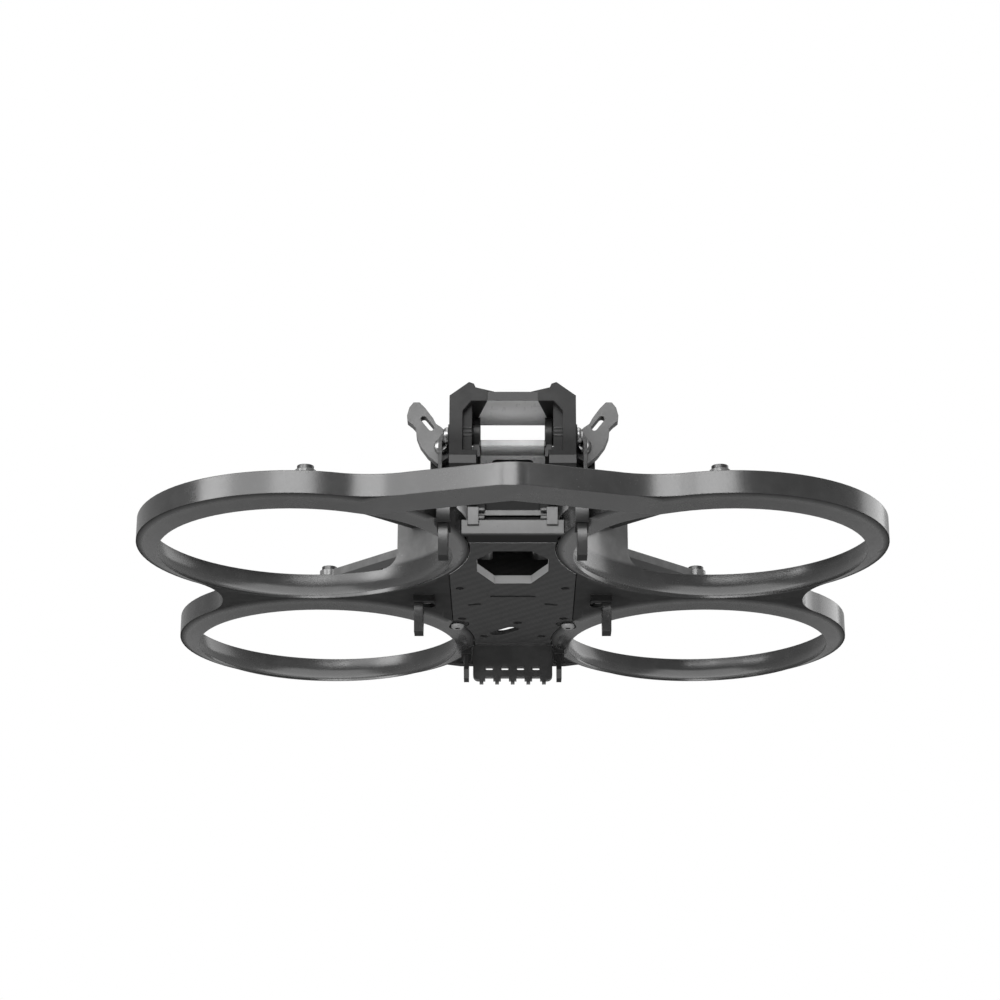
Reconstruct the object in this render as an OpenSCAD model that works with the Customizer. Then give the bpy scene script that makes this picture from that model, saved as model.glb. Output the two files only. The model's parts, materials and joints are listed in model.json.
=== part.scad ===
// Ducted quadcopter airframe, 2.5 inch propeller class: four-ring guard, carbon plates,
// camera cage with a tilting cradle, two swinging antenna mounts, landing feet and tail comb.
// Lengths are millimetres. +Z is up, -Y is the nose, and the feet stand on z = 0.

/* [Rings] */
// Outer radius of one propeller ring
ring_r = 38; // [36:0.5:40]
// Radius of the ring wall's inner face
ring_inner_r = 35.7; // [35:0.1:35.8]
// Radius of the inner lip at the bottom of the ring, on its outboard side
lip_r = 33; // [32:0.5:33.5]
// Height of the ring band
band_h = 5.2; // [4.8:0.2:7]
// Drop of the lip below the ring band
lip_drop = 1.8; // [1:0.1:2]
// Distance from the middle line to a ring centre, across
ring_x = 48.15; // [47.5:0.05:49]
// Distance from the middle line to a ring centre, along
ring_y = 38.19; // [38:0.01:38.5]

/* [Body] */
// Distance from the ring row's middle to the tip of the nose bumper
nose_reach = 81.5; // [80:0.5:84]
// Ground clearance under the bottom plate
foot_h = 9; // [8:0.5:12]
// Height of the body, from the underside of the bottom plate to the top of the arm plate
bay_h = 16; // [16:0.5:20]
// Thickness of the bottom plate
floor_t = 2; // [1.5:0.1:2]
// Thickness of the arm plate
arm_t = 2; // [1.8:0.1:2.4]
// Clear height between the arm plate and the battery deck
deck_gap = 13.2; // [13:0.1:16]
// Thickness of the battery deck
deck_t = 2; // [1.5:0.1:2.5]

/* [Camera] */
// Clear width between the cradle's cheeks
cradle_w = 14.8; // [14:0.1:15]
// Height of the cradle's pivot above the arm plate
pivot_h = 8.6; // [8.4:0.1:8.9]

/* [Fasteners] */
// Radius of a clearance bore for an M2 screw
bore_r = 1.1; // [1.05:0.05:1.2]
// Radius of an M2 screw's shank
shank_r = 1; // [0.95:0.05:1]
// Radius of an M2 button head
head_r = 1.9; // [1.8:0.1:2]
// Height of an M2 button head
head_h = 1.2; // [1:0.1:1.4]

/* [Hidden] */
$fn = 96;
eps = 0.01;

rear_reach = ring_y + ring_r;
plan_shift = (nose_reach - rear_reach) / 2;

arm_z = bay_h - arm_t;
arm_top = bay_h;
deck_z = arm_top + deck_gap;
deck_top = deck_z + deck_t;
wall_t = ring_r - ring_inner_r;

waist_r = 18;
waist_overcut = 0.06;
rim_land = 0.35;
waist_x = ring_x + sqrt(pow(ring_r + waist_r, 2) - pow(ring_y, 2));
waist_touch = [
    ring_x + ring_r * (waist_x - ring_x) / (ring_r + waist_r),
    ring_y - ring_r * ring_y / (ring_r + waist_r)
];

nose_cap_r = 12;
nose_tip = [3.5, 0.5 - nose_reach];
nose_slope = 16.8;
valley_r = 25;
rear_shoulder = [14, 62.6];

plate_half_w = 15;
plate_front = -42.4;
plate_back = 39.7;
plate_gap = 0.4;
lead_slot = [-2.1, 29];
lead_slope = -45;
lead_len = 9;
lead_w = 3.6;
ledge_t = 1.6;
ledge_w = 1.1;
land_z = -1.9;

boss_r = 2.7;
wall_half_w = 28;
wall_front = -42.8;

stack_pitch = 25.5;
stack_y = 5;
stack_hole_r = 1.1;
stack_points = [for (sx = [-1, 1], sy = [-1, 1]) [sx * stack_pitch / 2, stack_y + sy * stack_pitch / 2]];

motor_pcd = 9;
motor_hole_r = 1.1;
shaft_hole_r = 2;
pad_r = 6.6;
arm_root_x = 8;
arm_half_w = 2.9;
plate_fit = 0.25;
brace_w = 1.8;
brace_h = 3;
brace_start = 15;
brace_tail = 5.5;
bush_r = 1.98;
bush_top = arm_top + 4.1;
ring_points = [for (sx = [-1, 1], sy = [-1, 1]) [sx * ring_x, sy * ring_y]];

body_points = [[-21, 0], [21, 0], [-14, 22.5], [14, 22.5]];
post_points = [[-11.5, -20], [11.5, -20], [-8, 37.5], [8, 37.5]];
post_r = 2.2;

cage_front = -57;
cage_back = -40.2;
cage_half_w = 14.3;
cage_wall = 2;
cage_shoulder = arm_top + 14.3;
cage_peak = arm_top + 17.6;
roof_z = arm_top + 13;
roof_t = 2.2;
roof_rear = -41.7;
roof_front_w = 5.7;
roof_rear_w = 8.9;
nose_points = [[-10, -50.2], [10, -50.2]];
block_points = [[-8.2, -42.7], [8.2, -42.7]];
cage_foot_points = concat(nose_points, block_points);

pivot_y = -46.5;
pivot_z = arm_top + pivot_h;
cheek_t = 1.6;
cheek_r = 4.1;
cheek_foot_w = 5.2;
cheek_drop = 6.1;
spacer_t = 3.1;
head_gap = 0.05;

block_front = -49;
block_back = -46.8;
block_gap = 0.1;

leaf_y = -39.4;
leaf_t = 2.6;
leaf_pivot = [16.4, 24.5];
pin_clearance = 0.05;

foot_w = 2.2;
foot_len = 6.7;
front_foot = [15.3, -59];
middle_foot = [22.9, 0.4];
tail_y = 47;

// Places a child drawn around the middle of the ring row into the part's own frame.
module in_frame() {
    translate([0, plan_shift, foot_h]) children();
}

// Repeats a child at each plan point.
module at_points(points, z = 0) {
    for (p = points) translate([p[0], p[1], z]) children();
}

// Repeats a child at x and mirrored at -x.
module both_sides() {
    children();
    mirror([1, 0, 0]) children();
}

// A rectangle with round ends, long along X.
module slot_2d(length, width) {
    square([length - width, width], center = true);
    for (s = [-1, 1]) translate([s * (length - width) / 2, 0]) circle(d = width, $fn = 48);
}

// A rectangle with round corners.
module soft_rect_2d(length, width, r) {
    square([length - 2 * r, width], center = true);
    square([length, width - 2 * r], center = true);
    for (sx = [-1, 1], sy = [-1, 1]) {
        translate([sx * (length / 2 - r), sy * (width / 2 - r)]) circle(r = r, $fn = 48);
    }
}

// An extrusion along -Y of an outline drawn in X and Z, starting at y_back.
module extrude_y(y_back, length) {
    translate([0, y_back, 0]) rotate([90, 0, 0]) linear_extrude(length) children();
}

// An extrusion along +X of an outline drawn in Y and Z, starting at x.
module extrude_x(x, length) {
    translate([x, 0, 0]) rotate([90, 0, 90]) linear_extrude(length) children();
}

// A button-head screw: the head stands above z = 0, the shank runs down from it.
module screw(shank_len, head = head_h) {
    difference() {
        union() {
            translate([0, 0, -shank_len]) cylinder(r = shank_r, h = shank_len + eps, $fn = 32);
            rotate_extrude($fn = 48) polygon([
                [0, 0], [head_r, 0], [head_r, 0.35 * head], [0.86 * head_r, 0.72 * head],
                [0.6 * head_r, head], [0, head]
            ]);
        }
        translate([0, 0, 0.45 * head]) cylinder(r = 0.72, h = head, $fn = 6);
    }
}

// ---- Guard ----

// Half of the nose outline on the +X side: a straight flank from the tip and a hollow that meets the ring.
module nose_half_2d(inset = 0) {
    along = [cos(nose_slope), sin(nose_slope)];
    out = [sin(nose_slope), -cos(nose_slope)];
    ring = [ring_x, -ring_y];
    ring_run = (ring - nose_tip) * along;
    ring_out = (ring - nose_tip) * out;
    valley_run = ring_run - sqrt(pow(ring_r + valley_r, 2) - pow(valley_r - ring_out, 2));
    valley = nose_tip + valley_run * along + valley_r * out;
    ring_touch = ring + (ring_r - inset) / (ring_r + valley_r) * (valley - ring);
    difference() {
        polygon([
            [-0.5, -ring_y], [-0.5, nose_tip[1] + inset], nose_tip - inset * out,
            nose_tip + valley_run * along - inset * out, ring_touch, ring
        ]);
        translate(valley) circle(r = valley_r + inset + waist_overcut, $fn = 160);
    }
}

// The nose and tail outlines that join the left and right rings.
module nose_2d(inset = 0) {
    nose_half_2d(inset);
    mirror([1, 0]) nose_half_2d(inset);
    intersection() {
        translate([0, nose_cap_r + inset - nose_reach]) circle(r = nose_cap_r);
        translate([-3.6, -nose_reach - 1]) square([7.2, nose_cap_r]);
    }
}

module tail_2d(inset = 0) {
    polygon([
        [-ring_x, ring_y], [-17.6, 60.9 - inset], [-rear_shoulder[0], rear_shoulder[1] - inset],
        [rear_shoulder[0], rear_shoulder[1] - inset], [17.6, 60.9 - inset], [ring_x, ring_y]
    ]);
}

module waist_2d() {
    fill_w = waist_touch[0] - ring_x;
    for (s = [-1, 1]) difference() {
        translate([s * (ring_x + fill_w / 2), 0]) square([fill_w, 2 * waist_touch[1]], center = true);
        translate([s * waist_x, 0]) circle(r = waist_r + waist_overcut);
    }
}

module guard_outline_2d() {
    at_points(ring_points) circle(r = ring_r, $fn = 160);
    square([2 * ring_x, 2 * ring_y], center = true);
    waist_2d();
    nose_2d();
    tail_2d();
}

module ring_holes_2d(r) {
    at_points(ring_points) circle(r = r, $fn = 160);
}

// The hollow between the four ring walls, from the nose bumper to the tail bridge.
module bay_2d() {
    difference() {
        union() {
            square([2 * wall_half_w - 2, 40], center = true);
            translate([-20, -ring_y - 5]) square([40, 2 * ring_y + 10]);
            intersection() {
                nose_2d(wall_t);
                translate([-30, -nose_reach]) square([60, nose_reach - 40]);
            }
            intersection() {
                tail_2d(wall_t);
                translate([-20, 40]) square([40, 30]);
            }
        }
        ring_holes_2d(ring_r);
    }
}

module plate_outline_2d(gap = 0) {
    difference() {
        translate([-plate_half_w - gap, plate_front - gap])
            square([2 * (plate_half_w + gap), plate_back - plate_front + 2 * gap]);
        ring_holes_2d(ring_r + plate_gap - gap);
    }
}

// Section of a ring's sloping flange, from the band down and in to the lip.
module flange_profile_2d() {
    step_z = 2.6;
    rim_r = ring_r - rim_land;
    top = [ring_inner_r, step_z];
    foot = [lip_r, -lip_drop + 0.7];
    polygon(concat(
        [[rim_r, 0], [lip_r, -lip_drop]],
        [for (i = [0:6]) let (t = i / 6)
            [foot[0] + (top[0] - foot[0]) * pow(t, 0.75), foot[1] + (top[1] - foot[1]) * pow(t, 1.7)]],
        [[rim_r, step_z]]
    ));
}

module ring_flange() {
    rotate_extrude($fn = 160) flange_profile_2d();
}

// Half of the sloping flange under the nose bumper, on the +X side.
module nose_flange() {
    depth = 5.6;
    intersection() {
        translate([nose_tip[0], nose_tip[1], 0]) rotate([0, 0, nose_slope]) extrude_x(-8, 40) polygon([
            [-1, 0], [0, 0], [depth, -lip_drop], [depth, 0.8 - lip_drop], [3.6, 0.2], [wall_t, 1.8], [-1, 1.8]
        ]);
        translate([0, 0, -lip_drop]) linear_extrude(4) nose_2d();
        translate([0, -nose_reach - 1, -lip_drop - 1]) cube([40, 30, 8]);
    }
}

// Side view of the zone where the ring walls rise to the arm plate, with flared feet.
module wall_zone_2d() {
    flare = 3.6;
    steps = 6;
    flare_points = [for (i = [0:steps]) let (a = 90 * i / steps)
        [wall_half_w + flare * (1 - cos(a)), band_h + flare * (1 - sin(a)) + 0.2]];
    polygon(concat(
        [[-wall_half_w, bay_h], [wall_half_w, bay_h]],
        flare_points,
        [[wall_half_w + flare, 0], [-wall_half_w - flare, 0]],
        [for (i = [steps:-1:0]) [-flare_points[i][0], flare_points[i][1]]]
    ));
}

module ring_walls() {
    intersection() {
        difference() {
            linear_extrude(bay_h + 1) ring_holes_2d(ring_r);
            translate([0, 0, -1]) linear_extrude(bay_h + 3) ring_holes_2d(ring_inner_r);
        }
        extrude_y(60, 120) wall_zone_2d();
        translate([-40, wall_front, 0]) cube([80, 46 - wall_front, bay_h]);
    }
}

module guard_floor() {
    linear_extrude(floor_t) difference() {
        square([2 * ring_x, 2 * ring_y], center = true);
        ring_holes_2d(ring_r - 0.2);
        plate_outline_2d(plate_gap / 2);
    }
    translate([0, 0, floor_t]) linear_extrude(ledge_t) difference() {
        square([2 * ring_x, 2 * ring_y], center = true);
        ring_holes_2d(ring_r - 0.2);
        square([2 * (plate_half_w - ledge_w), 2 * ring_y + 2], center = true);
        translate([-7, 0]) square([14, ring_y + 1]);
    }
}

// Flat lands under the guard that the feet and the tail cheeks bolt to.
module guard_lands() {
    both_sides() {
        translate([front_foot[0] - 1.5, front_foot[1] - 3.8, land_z]) cube([3, 7.6, 5.2]);
        translate([middle_foot[0] - 3.9, middle_foot[1] - 3.6, land_z]) cube([5.2, 7.2, 2.6]);
        translate([10.9, tail_y - 3.8, land_z]) cube([2.6, 7.6, 2.6]);
    }
}

module guard_bosses() {
    at_points(body_points) cylinder(r = boss_r, h = arm_z);
}

module ring_guard() {
    color("#3c3d3f") in_frame() difference() {
        union() {
            linear_extrude(band_h) difference() {
                guard_outline_2d();
                ring_holes_2d(ring_inner_r);
                bay_2d();
            }
            at_points(ring_points) ring_flange();
            both_sides() nose_flange();
            ring_walls();
            guard_floor();
            guard_lands();
            guard_bosses();
        }
        for (p = ring_points) translate([p[0] * (p[1] < 0 ? 0.98 : 0.995), p[1] * (p[1] < 0 ? 0.98 : 0.995), -4])
            cylinder(r = lip_r + 0.3, h = 6, $fn = 160);
        translate([0, 0, floor_t + ledge_t]) linear_extrude(bay_h) difference() {
            bay_2d();
            at_points(body_points) circle(r = boss_r);
            translate([-30, -nose_reach]) square([60, 20]);
        }
        translate([0, 0, arm_z]) linear_extrude(bay_h) arm_plate_2d(plate_fit);
        at_points(body_points, -4) cylinder(r = bore_r, h = bay_h + 8, $fn = 48);
        at_points(body_points, -4) cylinder(r = head_r + 0.2, h = 4, $fn = 48);
        both_sides() arm_notch();
    }
}

// V-shaped relief in the ring wall under a front arm.
module arm_notch() {
    extrude_y(-8, 16) polygon([[20.4, bay_h + 1], [20.6, bay_h - 3.6], [23.6, bay_h - 0.6], [23.6, bay_h + 1]]);
}

// ---- Carbon plates ----

module octagon_2d() {
    polygon([
        [-4.4, -36.3], [4.4, -36.3], [8.4, -30], [8.4, -21.2],
        [4.4, -11.8], [-4.4, -11.8], [-8.4, -21.2], [-8.4, -30]
    ]);
}

module bottom_plate() {
    color("#2a2b2c") in_frame() difference() {
        linear_extrude(floor_t) difference() {
            plate_outline_2d();
            octagon_2d();
            translate([0, -1.2]) slot_2d(11.4, 1.4);
            translate(lead_slot) rotate(lead_slope) slot_2d(lead_len, lead_w);
            at_points(stack_points) circle(r = stack_hole_r, $fn = 48);
            for (s = [-1, 1]) {
                translate([s * 9.4, 5.6]) rotate(s * 20) slot_2d(3.6, 1.4);
                translate([s * 7.4, 33.6]) circle(r = 1.1, $fn = 48);
            }
            translate([1.3, 21.4]) circle(r = 1.2, $fn = 48);
            at_points(body_points) circle(r = 3, $fn = 48);
        }
        translate([lead_slot[0], lead_slot[1] + 1, floor_t / 2]) rotate([0, 0, lead_slope])
            linear_extrude(floor_t) slot_2d(lead_len + 2, lead_w + 3);
    }
}

// Distance from an arm's root on the middle line to its motor pad, and the arm's heading.
function arm_run(sx, sy) = [sx * (ring_x - arm_root_x), sy * ring_y];

module along_arm(sx, sy) {
    run = arm_run(sx, sy);
    translate([sx * arm_root_x, 0, 0]) rotate([0, 0, atan2(run[1], run[0])]) children();
}

// The body of the arm plate between the ring walls, with ears for the body screws.
module arm_spine_2d(gap) {
    side = cage_half_w + gap;
    polygon([
        [-24.5 - gap, -2.5], [-18 - gap, -14], [-16.6 - gap, -32], [-side, -38], [-side, cage_front - gap],
        [-8.2 + gap, cage_front - gap], [-8.2 + gap, -50 - gap], [8.2 - gap, -50 - gap],
        [8.2 - gap, cage_front - gap], [side, cage_front - gap], [side, -38], [16.6 + gap, -32],
        [18 + gap, -14], [24.5 + gap, -2.5], [24.5 + gap, 2.5], [17.4 + gap, 14], [17.4 + gap, 26],
        [11.5 + gap, 40 + gap], [-11.5 - gap, 40 + gap], [-17.4 - gap, 26], [-17.4 - gap, 14],
        [-24.5 - gap, 2.5]
    ]);
    for (s = [-1, 1]) translate([s * 16.2, -38.6]) square([6.4 + 2 * gap, 10 + 2 * gap], center = true);
}

module arm_plate_2d(gap = 0) {
    for (sx = [-1, 1], sy = [-1, 1]) {
        along_arm(sx, sy) translate([0, -arm_half_w - gap])
            square([norm(arm_run(sx, sy)), 2 * (arm_half_w + gap)]);
        translate([sx * ring_x, sy * ring_y]) circle(r = pad_r + gap);
    }
    arm_spine_2d(gap);
}

module motor_bolts_2d() {
    for (a = [0:90:270]) rotate(a) translate([motor_pcd / 2, 0]) circle(r = motor_hole_r, $fn = 48);
    circle(r = shaft_hole_r, $fn = 48);
}

module arm_plate() {
    color("#26272a") in_frame() translate([0, 0, arm_z]) linear_extrude(arm_t) difference() {
        arm_plate_2d();
        at_points(ring_points) motor_bolts_2d();
        at_points(body_points) circle(r = bore_r, $fn = 48);
        at_points(post_points) circle(r = bore_r, $fn = 48);
        at_points(cage_foot_points) circle(r = bore_r, $fn = 48);
        for (s = [-1, 1]) {
            translate([s * 7, 3]) soft_rect_2d(4, 20, 1.5);
        }
        translate([0, -24]) soft_rect_2d(12, 16, 3);
        translate([0, 30]) soft_rect_2d(15, 8, 2);
    }
}

module deck_2d() {
    soft_front = 7.6;
    polygon([
        [-soft_front, -24], [soft_front, -24], [15, -17], [15, 35], [11, 40.5],
        [-11, 40.5], [-15, 35], [-15, -17]
    ]);
}

module battery_deck() {
    color("#26272a") in_frame() translate([0, 0, deck_z]) linear_extrude(deck_t) difference() {
        deck_2d();
        at_points(post_points) circle(r = bore_r, $fn = 48);
        for (y = [-4, 20], s = [-1, 1]) translate([s * 11.4, y]) rotate(90) slot_2d(17, 2.4);
        translate([0, -17]) slot_2d(10, 3);
        translate([0, 33]) slot_2d(10, 3);
    }
}

module battery_pad() {
    color("#7d7f82") in_frame() translate([0, 5, deck_top]) linear_extrude(1.5) difference() {
        soft_rect_2d(17, 54, 2.5);
        for (y = [-20:10:20]) translate([0, y]) slot_2d(9, 3);
    }
}

module deck_posts() {
    color("#5c5e61") in_frame() at_points(post_points, arm_top) difference() {
        union() {
            cylinder(r = post_r, h = deck_gap, $fn = 48);
            translate([0, 0, 1.2]) cylinder(r = post_r + 0.25, h = deck_gap - 2.4, $fn = 6);
        }
        translate([0, 0, -1]) cylinder(r = shank_r, h = deck_gap + 2, $fn = 32);
    }
}

module deck_screws() {
    color("#b9bbbd") in_frame() at_points(post_points, deck_top) screw(deck_t + 4);
}

module post_screws() {
    color("#b9bbbd") in_frame() at_points(post_points, arm_z) mirror([0, 0, 1]) screw(arm_t + 4);
}

// ---- Camera cage ----

// Front view of one cage side, on the +X side.
module cage_side_2d() {
    polygon([
        [cage_half_w, arm_top], [cage_half_w, cage_shoulder], [9.9, cage_peak],
        [8.8, cage_peak - 0.4], [8.4, cage_peak - 1.3], [4.2, roof_z + roof_t + 0.05],
        [4.2, roof_z + roof_t], [9.4, roof_z + roof_t], [9.4, roof_z],
        [cage_half_w - cage_wall, roof_z - 3.2], [cage_half_w - cage_wall, arm_top]
    ]);
}

module cage_side() {
    difference() {
        union() {
            extrude_y(cage_back, cage_back - cage_front) cage_side_2d();
            extrude_y(cage_front + 2, 2) polygon([
                [11.3, arm_top + 1], [13, arm_top + 1], [13, roof_z], [9.4, roof_z], [11.3, roof_z - 2.4]
            ]);
            translate([9.2, cage_front + 2, arm_top]) cube([3.4, 1.4, roof_z + 0.5 - arm_top]);
            translate([0, 0, roof_z]) linear_extrude(roof_t) polygon([
                [roof_front_w, cage_front], [9.6, cage_front], [9.6, roof_rear], [roof_rear_w, roof_rear]
            ]);
            translate([8, cage_front, arm_top]) cube([5, cage_back - cage_front, 1.2]);
            translate([cage_half_w - 1, pivot_y, pivot_z]) rotate([0, 90, 0]) cylinder(r = 2.6, h = 1.5);
        }
        translate([0, pivot_y, pivot_z]) rotate([0, 90, 0]) {
            cylinder(r = bore_r, h = 20, $fn = 48);
            cylinder(r = 2.8, h = cage_half_w - cage_wall + 0.1, $fn = 48);
        }
        at_points(cage_foot_points, arm_top - 1) cylinder(r = bore_r, h = 4, $fn = 48);
        extrude_x(cage_half_w - cage_wall - 1, cage_wall + 2) polygon([
            [-54, arm_top + 3.4], [-50, arm_top + 3.4], [-52.4, arm_top + 8.6], [-54, arm_top + 8.6]
        ]);
        extrude_x(cage_half_w - cage_wall - 1, cage_wall + 2) polygon([
            [-53.5, arm_top + 11.4], [-44, arm_top + 11.4], [-44, arm_top + 12.4], [-53.5, arm_top + 12.4]
        ]);
        extrude_x(0, 20) polygon([
            [cage_back + 1, arm_top + 10], [cage_back + 1, cage_peak + 1], [-45, cage_peak + 1]
        ]);
    }
}

module cage_right() {
    color("#454649") in_frame() cage_side();
}

module cage_left() {
    color("#454649") in_frame() mirror([1, 0, 0]) cage_side();
}

module cage_roof() {
    color("#5a5b5e") in_frame() translate([0, 0, roof_z]) linear_extrude(roof_t) polygon([
        [-roof_front_w, cage_front], [roof_front_w, cage_front],
        [roof_rear_w, roof_rear], [-roof_rear_w, roof_rear]
    ]);
}

module cage_screws() {
    color("#b9bbbd") in_frame() at_points(cage_foot_points, arm_top + 1.2) screw(arm_t + 4.6, 0.9);
}

// The moulded block that closes the gap between the front rings and carries the cage's front.
module nose_block() {
    color("#8a8c8f") in_frame() difference() {
        union() {
            translate([-12, block_front, 0]) cube([24, block_back - block_front, 3.3]);
            translate([-10.2, block_back - 0.2, 0]) cube([20.4, plate_front - block_back, 1.4]);
            translate([-8, block_front + 0.8, 4.6]) cube([16, 1.4, 1.3]);
            translate([-6.4, -44.4, 1]) cube([12.8, 1.4, arm_z - 1]);
            both_sides() {
                translate([7.7, block_front - 0.6, 2]) cube([2.5, 2.8, 4.2]);
                translate([6.2, block_back - 0.2, 0]) cube([4, 3.8, arm_z]);
                translate([6.2, block_back, 5]) cube([4, 6.1, arm_z - 5]);
                translate([8, nose_points[1][1], 8]) cube([2.2, 4, arm_z - 8]);
            }
            at_points(nose_points, 8) cylinder(r = 2, h = arm_z - 8);
        }
        translate([0, 0, -1]) linear_extrude(bay_h) ring_holes_2d(ring_r + block_gap);
        at_points(cage_foot_points, 9.5) cylinder(r = shank_r, h = 8, $fn = 48);
    }
}

module camera_cradle() {
    half = cradle_w / 2;
    color("#6b6d70") in_frame() translate([0, pivot_y, pivot_z]) difference() {
        union() {
            for (s = [-1, 1]) translate([s * (half + cheek_t / 2), 0, 0]) {
                rotate([0, 90, 0]) {
                    cylinder(r = cheek_r, h = cheek_t, center = true);
                    translate([0, 0, s * (cheek_t + spacer_t) / 2])
                        cylinder(r = 2.4, h = spacer_t + eps, center = true);
                }
                translate([-cheek_t / 2, -cheek_foot_w / 2, -cheek_drop]) cube([cheek_t, cheek_foot_w, cheek_drop]);
            }
            translate([-half - 0.2, -3.2, -3.7]) cube([cradle_w + 0.4, 6.4, 1.4]);
        }
        rotate([0, 90, 0]) cylinder(r = shank_r, h = 40, center = true, $fn = 48);
        for (s = [-1, 1], a = [35, 145]) rotate([a, 0, 0]) translate([s * (half + 0.8), 2.6, 0])
            rotate([0, 90, 0]) cylinder(r = 0.8, h = 2, center = true, $fn = 32);
    }
}

module pivot_screw() {
    reach = cage_half_w + 0.5 + head_gap;
    translate([reach, pivot_y, pivot_z]) rotate([0, 90, 0]) screw(reach - cradle_w / 2);
}

module pivot_screw_right() {
    color("#c9cbcd") in_frame() pivot_screw();
}

module pivot_screw_left() {
    color("#c9cbcd") in_frame() mirror([1, 0, 0]) pivot_screw();
}

// ---- Antenna mounts ----

module leaf_2d() {
    difference() {
        polygon([
            [17.4, 20.3], [19.7, 22.3], [21.5, 24.8], [22.4, 27.1], [22.6, 29.2], [23.4, 30.1],
            [24.6, 31.1], [24.7, 32.4], [24.2, 34.4], [23.2, 35.7], [21.8, 35.7], [20.4, 34.2],
            [18.6, 31.7], [17.9, 30.3], [16.6, 29.4], [15, 27.8], [14.2, 24.5], [15, 21.8]
        ]);
        translate([19.9, 30.4]) rotate(52) slot_2d(4.2, 1.4);
        translate(leaf_pivot) circle(r = shank_r + pin_clearance, $fn = 48);
    }
}

module antenna_mount() {
    extrude_y(leaf_y + leaf_t, leaf_t) leaf_2d();
}

module antenna_mount_right() {
    color("#77797c") in_frame() antenna_mount();
}

module antenna_mount_left() {
    color("#77797c") in_frame() mirror([1, 0, 0]) antenna_mount();
}

module antenna_bracket() {
    difference() {
        union() {
            extrude_y(-34.4, 2) {
                translate(leaf_pivot) circle(r = 2.8);
                translate([13.6, arm_top]) square([5.6, leaf_pivot[1] - arm_top]);
            }
            translate([13.6, -36.4, arm_top]) cube([5.6, 4.6, 1.2]);
        }
        extrude_y(-30, 10) translate(leaf_pivot) circle(r = shank_r, $fn = 48);
    }
}

module antenna_bracket_right() {
    color("#505255") in_frame() antenna_bracket();
}

module antenna_bracket_left() {
    color("#505255") in_frame() mirror([1, 0, 0]) antenna_bracket();
}

module antenna_screws() {
    color("#c9cbcd") in_frame() both_sides()
        translate([leaf_pivot[0], leaf_y - 0.3, leaf_pivot[1]]) rotate([90, 0, 0]) screw(5, 0.9);
}

// A thin bent strap from the arm plate up and over to the side of the cage.
module strap() {
    bend = 2.4;
    t = 0.9;
    out = 17.2;
    top = 26.6;
    extrude_y(-40.8, 2.9) {
        translate([out - t, arm_top]) square([t, top - bend - arm_top]);
        translate([cage_half_w, top - t]) square([out - bend - cage_half_w, t]);
        translate([out - bend, top - bend]) difference() {
            circle(r = bend, $fn = 64);
            circle(r = bend - t, $fn = 64);
            translate([-bend - 1, -bend - 1]) square([bend + 1, 2 * bend + 2]);
            translate([-bend - 1, -bend - 1]) square([2 * bend + 2, bend + 1]);
        }
        translate([15, arm_top]) square([out - 15, 0.9]);
    }
}

module strap_right() {
    color("#c3c5c7") in_frame() strap();
}

module strap_left() {
    color("#c3c5c7") in_frame() mirror([1, 0, 0]) strap();
}

// ---- Feet and tail ----

module leg_2d(length) {
    drop = foot_h + land_z;
    polygon([
        [-length / 2, 0], [length / 2, 0], [length / 2, -drop * 0.45], [length * 0.32, -drop],
        [-length * 0.32, -drop], [-length / 2, -drop * 0.45]
    ]);
}

module foot(point) {
    translate([point[0], point[1], land_z]) extrude_x(-foot_w / 2, foot_w) leg_2d(foot_len);
}

module foot_front_right() {
    color("#303133") in_frame() foot(front_foot);
}

module foot_front_left() {
    color("#303133") in_frame() mirror([1, 0, 0]) foot(front_foot);
}

module foot_middle_right() {
    color("#303133") in_frame() foot(middle_foot);
}

module foot_middle_left() {
    color("#303133") in_frame() mirror([1, 0, 0]) foot(middle_foot);
}

// Rear view of the comb, with its windows and teeth.
module comb_2d() {
    pitch = 4.1;
    half = 10.4;
    bottom = 0.8 - foot_h;
    difference() {
        union() {
            translate([-half, bottom + 1.4]) square([2 * half, -bottom + 1]);
            translate([-half + 1.4, bottom]) square([2 * half - 2.8, 2]);
            for (s = [-1, 1]) translate([s * (half - 1.4), bottom + 1.4]) circle(r = 1.4, $fn = 48);
            for (i = [-2:2]) translate([i * pitch - 0.5, -foot_h]) square([1, 2]);
        }
        for (i = [-1.5:1.5]) {
            translate([i * pitch, -foot_h + 3.9]) slot_2d(2.1, 0.9);
            translate([i * pitch - 1.05, -foot_h - 1]) square([2.1, 2.6]);
        }
    }
}

module tail_comb() {
    color("#37383a") in_frame() {
        extrude_y(tail_y + 1, 2) comb_2d();
        translate([-10, 40.3, 1.2]) cube([20, 8.7, 1.2]);
        extrude_y(tail_y + 1, 2) translate([-9.6, 1]) square([19.2, 2.6]);
    }
}

module tail_cheek() {
    translate([11.5, tail_y, land_z]) extrude_x(0, 1.3) polygon([
        [-3.6, 0], [3.6, 0], [3.6, -4.2], [2, 0.9 - foot_h - land_z], [-2, 0.9 - foot_h - land_z], [-3.6, -4.2]
    ]);
}

module tail_cheek_right() {
    color("#303133") in_frame() tail_cheek();
}

module tail_cheek_left() {
    color("#303133") in_frame() mirror([1, 0, 0]) tail_cheek();
}

// ---- Hardware ----

module body_screws() {
    color("#b9bbbd") in_frame() at_points(body_points) mirror([0, 0, 1]) screw(arm_top + 1.6);
}

module body_nuts() {
    color("#b9bbbd") in_frame() at_points(body_points, arm_top) difference() {
        cylinder(r = 2.3, h = 1.6, $fn = 6);
        translate([0, 0, -1]) cylinder(r = shank_r, h = 4, $fn = 32);
    }
}

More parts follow.
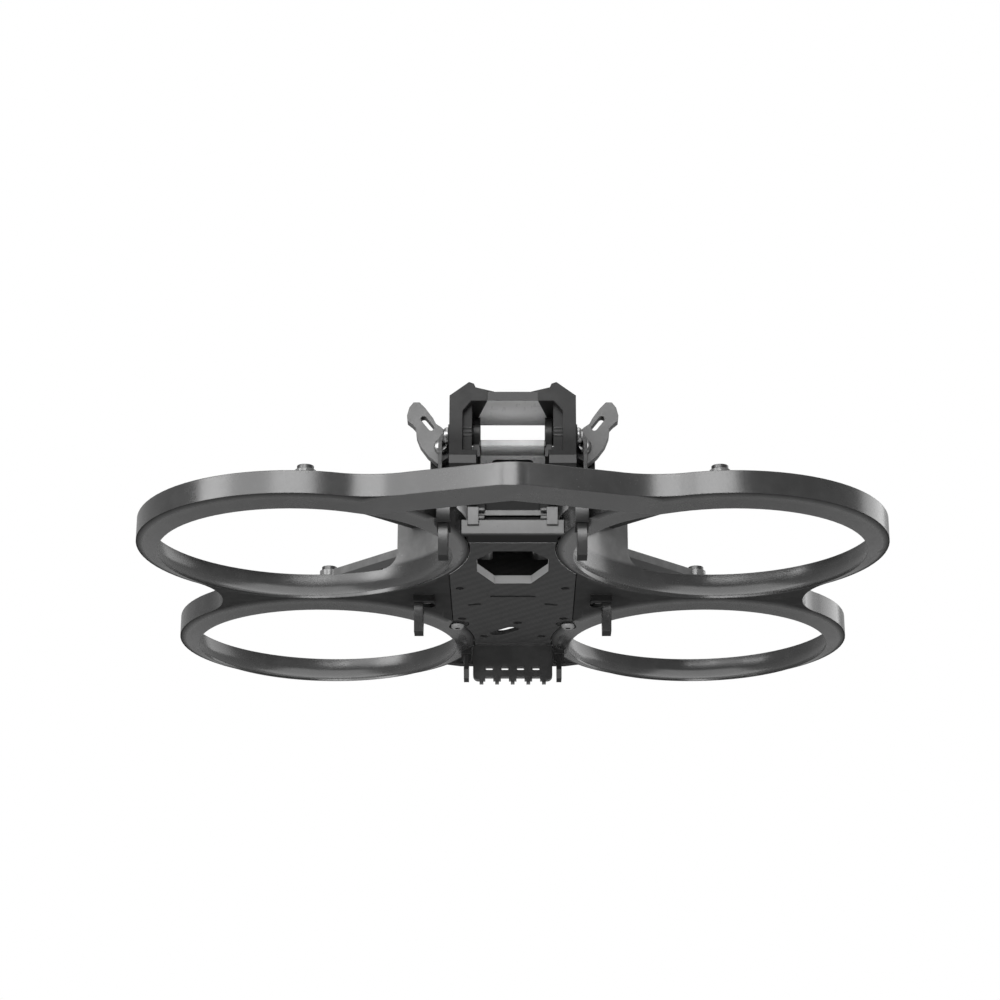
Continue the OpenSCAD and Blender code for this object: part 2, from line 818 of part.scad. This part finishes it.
// A slim rib on top of an arm, with a hub around the pad's bush.
module arm_brace(sx, sy) {
    run = norm(arm_run(sx, sy));
    difference() {
        union() {
            translate([0, 0, arm_top]) along_arm(sx, sy) extrude_y(brace_w / 2, brace_w) polygon([
                [brace_start, 0], [brace_start + 5, brace_h], [run, brace_h],
                [run + brace_tail, 0.6], [run + brace_tail, 0]
            ]);
            translate([sx * ring_x, sy * ring_y, arm_top]) cylinder(r = 2.5, h = brace_h);
        }
        translate([sx * ring_x, sy * ring_y, arm_top - 1]) cylinder(r = bush_r, h = brace_h + 2, $fn = 48);
    }
}

module arm_brace_front_left() {
    color("#2c2d30") in_frame() arm_brace(-1, -1);
}

module arm_brace_front_right() {
    color("#2c2d30") in_frame() arm_brace(1, -1);
}

module arm_brace_rear_left() {
    color("#2c2d30") in_frame() arm_brace(-1, 1);
}

module arm_brace_rear_right() {
    color("#2c2d30") in_frame() arm_brace(1, 1);
}

// Metal bushes through the middle of the motor pads.
module pad_bushes() {
    color("#b9bbbd") in_frame() at_points(ring_points, arm_z) difference() {
        cylinder(r = bush_r, h = bush_top - arm_z, $fn = 48);
        translate([0, 0, -1]) cylinder(r = 0.8, h = bush_top - arm_z, $fn = 32);
    }
}

ring_guard();
bottom_plate();
arm_plate();
battery_deck();
battery_pad();
deck_posts();
deck_screws();
post_screws();
cage_left();
cage_right();
cage_roof();
cage_screws();
nose_block();
camera_cradle();
pivot_screw_left();
pivot_screw_right();
antenna_mount_left();
antenna_mount_right();
antenna_bracket_left();
antenna_bracket_right();
antenna_screws();
strap_left();
strap_right();
foot_front_left();
foot_front_right();
foot_middle_left();
foot_middle_right();
tail_comb();
tail_cheek_left();
tail_cheek_right();
body_screws();
body_nuts();
arm_brace_front_left();
arm_brace_front_right();
arm_brace_rear_left();
arm_brace_rear_right();
pad_bushes();
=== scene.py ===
"""Looks of the ducted quadcopter frame: materials, small moulded details, studio and camera."""
import json
import math

import bmesh
import bpy
from mathutils import Matrix, Vector


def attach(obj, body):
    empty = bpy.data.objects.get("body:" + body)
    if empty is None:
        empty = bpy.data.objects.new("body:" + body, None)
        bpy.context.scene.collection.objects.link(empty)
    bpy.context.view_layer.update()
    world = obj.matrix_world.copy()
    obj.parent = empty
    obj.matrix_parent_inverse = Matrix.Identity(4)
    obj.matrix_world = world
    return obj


MM = 0.001
FOOT = 9 * MM  # height of the rings' lower edge over the ground
RING_Y = 2.655 * MM  # how far the middle of the four rings lies behind the middle of the footprint
# Ahead of EDGE_FADE the bottom plate's cut edges are painted pale: painted light on the edges that face the
# front lamps.
EDGE_FADE = (-7.5 * MM, -6.0 * MM)  # where the pale cut edges of a laminate give way to dark ones

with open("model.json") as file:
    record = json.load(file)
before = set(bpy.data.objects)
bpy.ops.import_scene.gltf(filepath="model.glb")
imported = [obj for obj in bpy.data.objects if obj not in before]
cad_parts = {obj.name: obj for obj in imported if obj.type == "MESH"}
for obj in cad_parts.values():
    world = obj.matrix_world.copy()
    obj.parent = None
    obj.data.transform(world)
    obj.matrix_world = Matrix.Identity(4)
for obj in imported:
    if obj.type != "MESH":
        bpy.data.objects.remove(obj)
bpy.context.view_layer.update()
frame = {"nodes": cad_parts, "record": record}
nodes = frame["nodes"]


# ---------------------------------------------------------------- shader helpers

class Shader:
    """A material with one Principled shader and short calls for its nodes."""

    def __init__(self, name):
        self.mat = bpy.data.materials.new(name)
        self.mat.use_nodes = True
        self.tree = self.mat.node_tree
        self.bsdf = self.tree.nodes["Principled BSDF"]
        self.place = self.tree.nodes.new("ShaderNodeTexCoord").outputs["Object"]

    def put(self, socket, value):
        if isinstance(value, bpy.types.NodeSocket):
            self.tree.links.new(value, socket)
        elif value is not None:
            socket.default_value = value

    def math(self, op, a, b=None):
        n = self.tree.nodes.new("ShaderNodeMath")
        n.operation = op
        for socket, value in zip(n.inputs, (a, b)):
            self.put(socket, value)
        return n.outputs[0]

    def ramp(self, value, lo, hi, out_lo, out_hi, smooth=False):
        n = self.tree.nodes.new("ShaderNodeMapRange")
        n.interpolation_type = "SMOOTHSTEP" if smooth else "LINEAR"
        n.clamp = True
        limits = {"Value": value, "From Min": lo, "From Max": hi, "To Min": out_lo, "To Max": out_hi}
        for key, v in limits.items():
            self.put(n.inputs[key], v)
        return n.outputs["Result"]

    def noise(self, scale, detail=2.0, stretch=None):
        n = self.tree.nodes.new("ShaderNodeTexNoise")
        n.inputs["Scale"].default_value = scale
        n.inputs["Detail"].default_value = detail
        source = self.place
        if stretch:
            m = self.tree.nodes.new("ShaderNodeMapping")
            m.inputs["Scale"].default_value = stretch
            self.put(m.inputs["Vector"], source)
            source = m.outputs["Vector"]
        self.put(n.inputs["Vector"], source)
        return n.outputs["Fac"]

    def xyz(self, source=None):
        n = self.tree.nodes.new("ShaderNodeSeparateXYZ")
        self.put(n.inputs[0], source or self.place)
        return n.outputs

    def normal(self):
        return self.tree.nodes.new("ShaderNodeNewGeometry").outputs["Normal"]

    def mix(self, share, a, b):
        n = self.tree.nodes.new("ShaderNodeMix")
        n.data_type = "FLOAT"
        self.put(n.inputs[0], share)
        self.put(n.inputs[2], a)
        self.put(n.inputs[3], b)
        return n.outputs[0]

    def relief(self, height, depth_mm, round_mm, strength=1.0):
        """Bump over softly rounded edges."""
        edge = self.tree.nodes.new("ShaderNodeBevel")
        edge.samples = 4
        edge.inputs["Radius"].default_value = round_mm * MM
        bump = self.tree.nodes.new("ShaderNodeBump")
        bump.inputs["Strength"].default_value = strength
        bump.inputs["Distance"].default_value = depth_mm * MM
        self.put(bump.inputs["Height"], height)
        self.put(bump.inputs["Normal"], edge.outputs[0])
        self.put(self.bsdf.inputs["Normal"], bump.outputs[0])

    def finish(self, **values):
        for key, value in values.items():
            self.put(self.bsdf.inputs[key.replace("_", " ")], value)
        return self.mat


def moulded(name, tone, rough, specular=0.5, zone=None, matt_under=False, recess=None, middle=None,
            grit=0.14):
    """Fine-grained moulded nylon: cloudy tone, matt grain, lighter rubbed patches.

    zone is (from z, to z, tone) for a tone that sets in with height, used for painted light and painted
    shade. matt_under dulls the faces that point down. recess is (from y, to y) where the tone turns black
    towards the back, a painted shadow. middle is (half width, tone) for the part nearer the middle line,
    whose faces that point down are painted white, a painted light. grit is the grain's strength.
    """
    s = Shader(name)
    cloud = s.noise(55.0, 3.0)
    grain = s.noise(2400.0, 3.0)
    rub = s.noise(260.0, 4.0)
    shade = s.mix(s.ramp(cloud, 0.3, 0.7, 0.0, 1.0), tone * 0.86, tone * 1.14)
    # Painted light and shade by height: zone darkens the cage's lower legs and lightens the guard's walls.
    if zone:
        shade = s.mix(s.ramp(s.xyz()[2], zone[0], zone[1], 0.0, 1.0, True), shade, zone[2])
    # Painted light: near the middle line, faces that point down are painted white, standing in for light
    # that barely reaches them.
    if middle:
        near = s.ramp(s.math("ABSOLUTE", s.xyz()[0]), middle[0] - 0.2 * MM, middle[0], 1.0, 0.0)
        bar_tone_and_painted_light = s.mix(s.ramp(s.xyz(s.normal())[2], -0.8, -0.6, 1.0, 0.0), middle[1], 1.0)
        shade = s.mix(near, shade, bar_tone_and_painted_light)
    shade = s.math("MULTIPLY", shade, s.ramp(rub, 0.45, 0.75, 1.0, 1.35))
    s.relief(grain, 0.02, 0.25, grit)
    dull = s.ramp(grain, 0.3, 0.7, rough - 0.03, rough + 0.05)
    dull = s.math("ADD", dull, s.ramp(cloud, 0.3, 0.7, -0.03, 0.03))
    gloss = specular
    if matt_under:
        under = s.ramp(s.xyz(s.normal())[2], -0.99, -0.96, 1.0, 0.0)
        gloss = s.mix(under, specular, 0.04)
        dull = s.mix(under, dull, 0.75)
    # Painted shadow: behind the recess line the tone turns near black and the gloss drops, where shade
    # falls.
    if recess:
        shadow = s.ramp(s.xyz()[1], recess[0], recess[1], 0.0, 1.0)
        shade = s.mix(shadow, shade, 0.008)
        gloss = s.mix(shadow, gloss, 0.05)
    return s.finish(Base_Color=shade, Roughness=dull, Specular_IOR_Level=gloss)


def carbon(name, dark, light, rough, specular, coat, edge_gloss=0.2, edge_tone=0.03, under=None):
    """Twill laminate: two-over-two tows on the flat faces, ply lines on the cut edges.

    edge_tone is the tone of the cut edges ahead of EDGE_FADE, where a pale tone is painted light, and behind
    it they are dark. under is (from y, to y, front tone, rear tone) for painted light on the faces that
    point down, which makes them paler than the top.
    """
    s = Shader(name)
    tow, ply = 1.1 * MM, 0.25 * MM
    x, y, z = s.xyz()
    u = s.math("DIVIDE", x, tow)
    v = s.math("DIVIDE", y, tow)
    step = s.math("ADD", s.math("FLOOR", u), s.math("FLOOR", v))
    warp = s.math("LESS_THAN", s.math("FLOORED_MODULO", step, 4.0), 1.5)
    crown_u = s.math("SINE", s.math("MULTIPLY", s.math("FRACT", u), math.pi))
    crown_v = s.math("SINE", s.math("MULTIPLY", s.math("FRACT", v), math.pi))
    crown = s.mix(warp, crown_v, crown_u)
    along_x = s.noise(900.0, stretch=(0.12, 1, 1))
    along_y = s.noise(900.0, stretch=(1, 0.12, 1))
    strands = s.mix(warp, along_x, along_y)
    weave_and_painted_light = s.mix(warp, dark, light)
    weave_and_painted_light = s.math("MULTIPLY", weave_and_painted_light, s.ramp(strands, 0.3, 0.7, 0.85, 1.15))
    # Painted light: faces that point down are painted pale, standing in for the light and reflections a
    # glossy underside would catch.
    if under:
        from_y, to_y, front_tone, rear_tone = under
        painted_under_light = s.ramp(y, from_y, to_y, front_tone, rear_tone, True)
        weave_and_painted_light = s.mix(s.ramp(s.xyz(s.normal())[2], -0.9, -0.8, 1.0, 0.0), weave_and_painted_light, painted_under_light)
    flat = s.ramp(s.math("ABSOLUTE", s.xyz(s.normal())[2]), 0.4, 0.6, 0.0, 1.0)
    plies = s.math("SINE", s.math("MULTIPLY", z, 2 * math.pi / ply))
    # Painted light: the cut edges ahead of EDGE_FADE take edge_tone, which is pale on the bottom plate where
    # the front lamps fall.
    painted_front_edge_tone = s.ramp(y, *EDGE_FADE, edge_tone, 0.03)
    cut = s.math("MULTIPLY", painted_front_edge_tone, s.ramp(plies, -1.0, 1.0, 0.7, 1.2))
    height = s.mix(flat, s.math("MULTIPLY", plies, 0.3), crown)
    s.relief(height, 0.012, 0.12, 0.5)
    dull = s.mix(flat, 0.42, s.ramp(strands, 0.3, 0.7, rough - 0.04, rough + 0.06))
    s.bsdf.inputs["Coat Roughness"].default_value = 0.12
    gloss = s.mix(flat, edge_gloss, specular)
    shade = s.mix(flat, cut, weave_and_painted_light)
    return s.finish(Base_Color=shade, Roughness=dull, Specular_IOR_Level=gloss, Coat_Weight=coat)


def metal(name, tone, rough, stretch):
    """Turned or rolled metal: fine scratches drawn out along one axis."""
    s = Shader(name)
    lines = s.noise(1500.0, 3.0, stretch=stretch)
    stain = s.noise(180.0, 3.0)
    shade = s.mix(s.ramp(stain, 0.35, 0.65, 0.0, 1.0), tone * 0.82, tone)
    s.relief(lines, 0.01, 0.12, 0.4)
    dull = s.ramp(lines, 0.3, 0.7, rough - 0.06, rough + 0.1)
    return s.finish(Base_Color=shade, Metallic=1.0, Roughness=dull)


def rubber(name, tone):
    """Matt rubber with a pebbled skin, with painted shade that darkens its hollows."""
    s = Shader(name)
    v = s.tree.nodes.new("ShaderNodeTexVoronoi")
    v.inputs["Scale"].default_value = 1400.0
    s.put(v.inputs["Vector"], s.place)
    pebble = v.outputs["Distance"]
    # Painted shade: the pebbles' hollows, the low points of the bump, are painted darker.
    shade = s.ramp(pebble, 0.1, 0.8, tone * 0.8, tone * 1.3)
    s.relief(pebble, 0.05, 0.3, 0.6)
    dull = s.ramp(s.noise(300.0), 0.3, 0.7, 0.75, 0.9)
    return s.finish(Base_Color=shade, Roughness=dull, Specular_IOR_Level=0.3)


# The bar's faces that point down are painted white: painted light.
BAR_HALF = 7.3 * MM  # half the length of the cradle's bar that is pale, just past the cheeks' inner faces
LOOKS = {
    # The guard is painted lighter above FOOT + 6.6 mm: painted light on its walls.
    "moulded_guard": moulded("nylon_guard", 0.018, 0.22, 0.5, zone=(FOOT + 5.4 * MM, FOOT + 6.6 * MM, 0.085),
                             matt_under=True),
    "moulded_comb": moulded("nylon_comb", 0.045, 0.5, 0.3),
    # The cage is painted near black below FOOT + 19 mm: painted shadow on its lower legs.
    "moulded_cage": moulded("nylon_cage", 0.004, 0.4, 0.1, zone=(FOOT + 19 * MM, FOOT + 24 * MM, 0.018)),
    # The cradle bar's faces that point down are painted white: painted light.
    "moulded_cradle": moulded("nylon_cradle", 0.012, 0.35, 0.2, middle=(BAR_HALF, 0.3)),
    # The nose block is painted near black behind y = -45 mm: painted shadow.
    "moulded_light": moulded("nylon_light", 0.04, 0.3, 0.4, matt_under=True, grit=0.04,
                             recess=(-45.6 * MM, -45.0 * MM)),
    "moulded_flex": moulded("flex_grey", 0.06, 0.4, 0.35),
    "carbon": carbon("carbon_satin", 0.028, 0.033, 0.6, 0.05, 0.0),
    # Its front cut edges are painted pale (0.5): painted light.
    "carbon_floor": carbon("carbon_floor", 0.028, 0.033, 0.6, 0.05, 0.0, 0.5, 0.5),
    # The deck's underside is painted pale: painted light.
    "carbon_light": carbon("carbon_gloss", 0.05, 0.06, 0.3, 0.4, 0.3, 0.2, 0.03,
                           (-20 * MM, 15 * MM, 0.9, 0.9)),
    # The roof's underside is painted pale, more so towards the rear: painted light.
    "carbon_roof": carbon("carbon_roof", 0.03, 0.035, 0.3, 0.2, 0.2, 0.08, 0.012,
                          (-53 * MM, -44 * MM, 0.55, 1.0)),
    "pad_rubber": rubber("pad_rubber", 0.05),
    "post_alloy": metal("post_alloy", 0.08, 0.4, (1, 1, 0.08)),
    "steel": metal("bright_steel", 0.22, 0.3, (1, 1, 0.15)),
    "strap_metal": metal("strap_metal", 0.03, 0.35, (1, 0.1, 1)),
}
LOOK_OF = {"bottom_plate": "carbon_floor", "cage_roof": "carbon_roof", "tail_comb": "moulded_comb",
           "camera_cradle": "moulded_cradle"}
SLOTS = {p["node"]: p["material_slot"] for p in frame["record"]["subparts"]}


def dress(obj, look):
    obj.data.materials.clear()
    obj.data.materials.append(LOOKS[look])


SEAM = 0.002 * MM  # corners nearer than this are joined, which closes the seams between faces
SHALLOW = math.radians(24)  # edges that turn by less than this are shaded smooth


def smooth_group():
    """The node group of a modifier that closes seams and shades shallow edges smooth."""
    g = bpy.data.node_groups.new("smooth_shallow", "GeometryNodeTree")
    g.interface.new_socket("Geometry", in_out="INPUT", socket_type="NodeSocketGeometry")
    g.interface.new_socket("Geometry", in_out="OUTPUT", socket_type="NodeSocketGeometry")
    start, end = g.nodes.new("NodeGroupInput"), g.nodes.new("NodeGroupOutput")
    weld = g.nodes.new("GeometryNodeMergeByDistance")
    weld.inputs["Distance"].default_value = SEAM
    angle = g.nodes.new("GeometryNodeInputMeshEdgeAngle")
    shallow = g.nodes.new("FunctionNodeCompare")
    shallow.operation = "LESS_THAN"
    shallow.inputs[1].default_value = SHALLOW
    edges = g.nodes.new("GeometryNodeSetShadeSmooth")
    edges.domain = "EDGE"
    faces = g.nodes.new("GeometryNodeSetShadeSmooth")
    faces.domain = "FACE"
    g.links.new(start.outputs[0], weld.inputs["Geometry"])
    g.links.new(weld.outputs[0], edges.inputs["Geometry"])
    g.links.new(angle.outputs["Unsigned Angle"], shallow.inputs[0])
    g.links.new(shallow.outputs[0], edges.inputs["Shade Smooth"])
    g.links.new(edges.outputs[0], faces.inputs["Geometry"])
    g.links.new(faces.outputs[0], end.inputs[0])
    return g


SMOOTH = smooth_group()
for name, obj in nodes.items():
    obj.modifiers.new("smooth", "NODES").node_group = SMOOTH
    dress(obj, LOOK_OF.get(name, SLOTS.get(name, "moulded_guard")))


# ---------------------------------------------------------------- small moulded details

BAR_ROUND = 0.15 * MM


def bars(name, boxes, look):
    """One piece of the airframe, made of small bars with rounded edges.

    A box is (x, y, z, length, depth, height) in millimetres, from the middle of the four rings.
    """
    bm = bmesh.new()
    for x, y, z, length, depth, height in boxes:
        middle = Vector((x * MM, y * MM + RING_Y, z * MM + FOOT))
        place = Matrix.Translation(middle) @ Matrix.Diagonal((length * MM, depth * MM, height * MM, 1))
        made = bmesh.ops.create_cube(bm, size=1.0, matrix=place)
        edges = list({e for v in made["verts"] for e in v.link_edges})
        bmesh.ops.bevel(bm, geom=edges, offset=BAR_ROUND, segments=2, affect="EDGES")
    mesh = bpy.data.meshes.new(name)
    bm.to_mesh(mesh)
    bm.free()
    obj = bpy.data.objects.new(name, mesh)
    bpy.context.scene.collection.objects.link(obj)
    mesh.materials.append(LOOKS[look])
    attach(obj, "airframe")


SIDES = (-1, 1)
RING_X = 48.15
RIB_STEPS = ((0, 0.05), (9.5, 1.2))  # each rib's place beside RING_X and behind the middle

LEDGES = [(side * 10.3, -55.1, z, 2.2, 0.5, 0.35) for side in SIDES for z in (21.4, 22.3, 23.2)]
RIBS = [(side * (RING_X + x), y, 2.6, 0.8, 0.8, 4.8) for side in SIDES for x, y in RIB_STEPS]
TABS = [(side * 7.1, -48.9, z, 1.6, 1.0, 0.8) for side in SIDES for z in (3.8, 5.7)]
bars("cage_ledges", LEDGES, "moulded_flex")
bars("rear_ring_ribs", RIBS, "moulded_cradle")
bars("block_tabs", TABS, "moulded_light")


# ---------------------------------------------------------------- studio and camera

def area(name, azimuth, elevation, distance, width, height, watts):
    """A soft box that looks at the object. Azimuth 0 is in front of the nose and positive to the right."""
    data = bpy.data.lights.new(name, "AREA")
    data.shape = "RECTANGLE"
    data.size, data.size_y = width, height
    data.energy = watts
    a, e = math.radians(azimuth), math.radians(elevation)
    away = Vector((math.sin(a) * math.cos(e), -math.cos(a) * math.cos(e), math.sin(e)))
    lamp = bpy.data.objects.new(name, data)
    lamp.location = away * distance
    lamp.rotation_mode = "QUATERNION"
    lamp.rotation_quaternion = away.to_track_quat("Z", "Y")
    bpy.context.scene.collection.objects.link(lamp)


def studio():
    """White where the camera sees it, and otherwise a dim light that grows from below to above."""
    world = bpy.data.worlds.new("studio")
    bpy.context.scene.world = world
    world.use_nodes = True
    tree = world.node_tree
    tree.nodes.clear()
    out = tree.nodes.new("ShaderNodeOutputWorld")
    seen = tree.nodes.new("ShaderNodeBackground")
    seen.inputs["Color"].default_value = (1, 1, 1, 1)
    lit = tree.nodes.new("ShaderNodeBackground")
    lit.inputs["Color"].default_value = (1, 1, 1, 1)
    sky = tree.nodes.new("ShaderNodeTexCoord")
    split = tree.nodes.new("ShaderNodeSeparateXYZ")
    fade = tree.nodes.new("ShaderNodeMapRange")
    for key, value in {"From Min": -0.25, "From Max": 0.35, "To Min": 0.1, "To Max": 0.55}.items():
        fade.inputs[key].default_value = value
    tree.links.new(sky.outputs["Generated"], split.inputs[0])
    tree.links.new(split.outputs[2], fade.inputs["Value"])
    tree.links.new(fade.outputs["Result"], lit.inputs["Strength"])
    path = tree.nodes.new("ShaderNodeLightPath")
    mix = tree.nodes.new("ShaderNodeMixShader")
    tree.links.new(path.outputs["Is Camera Ray"], mix.inputs[0])
    tree.links.new(lit.outputs[0], mix.inputs[1])
    tree.links.new(seen.outputs[0], mix.inputs[2])
    tree.links.new(mix.outputs[0], out.inputs[0])
    area("front_box", -5, 17, 0.95, 0.42, 0.5, 6)
    area("left_box", -57, 17, 0.95, 0.35, 0.5, 5)
    area("between", -31, 17, 0.95, 0.45, 0.5, 3.2)
    area("top_box", 0, 80, 1.0, 1.0, 1.0, 8)
    area("right_rim", 120, 20, 1.0, 0.6, 0.5, 2.2)


def floor():
    """Pale painted floor, lower than the camera, which looks up at the object."""
    mesh = bpy.data.meshes.new("floor")
    half, depth = 6.0, 0.45
    corners = [(-half, -half, 0), (half, -half, 0), (half, half, 0), (-half, half, 0)]
    mesh.from_pydata(corners, [], [(0, 1, 2, 3)])
    obj = bpy.data.objects.new("floor", mesh)
    obj.location.z = -depth
    s = Shader("floor_paint")
    tone = s.ramp(s.noise(3.0, 2.0), 0.3, 0.7, 0.8, 0.84)
    mesh.materials.append(s.finish(Base_Color=tone, Roughness=0.9, Specular_IOR_Level=0.2))
    bpy.context.scene.collection.objects.link(obj)


def camera():
    """Looks up at the nose from the front and from below."""
    look_up = 0.3409
    data = bpy.data.cameras.new("camera")
    data.sensor_width = 36.0
    data.lens = 84.715
    data.shift_x = -0.0127
    data.shift_y = 0.001
    data.clip_start = 0.01
    obj = bpy.data.objects.new("camera", data)
    obj.location = (0, -0.548345, -0.1613)
    obj.rotation_euler = (math.pi / 2 + look_up, 0, 0)
    bpy.context.scene.collection.objects.link(obj)
    bpy.context.scene.camera = obj


studio()
floor()
camera()
bpy.context.scene.view_settings.view_transform = "Standard"
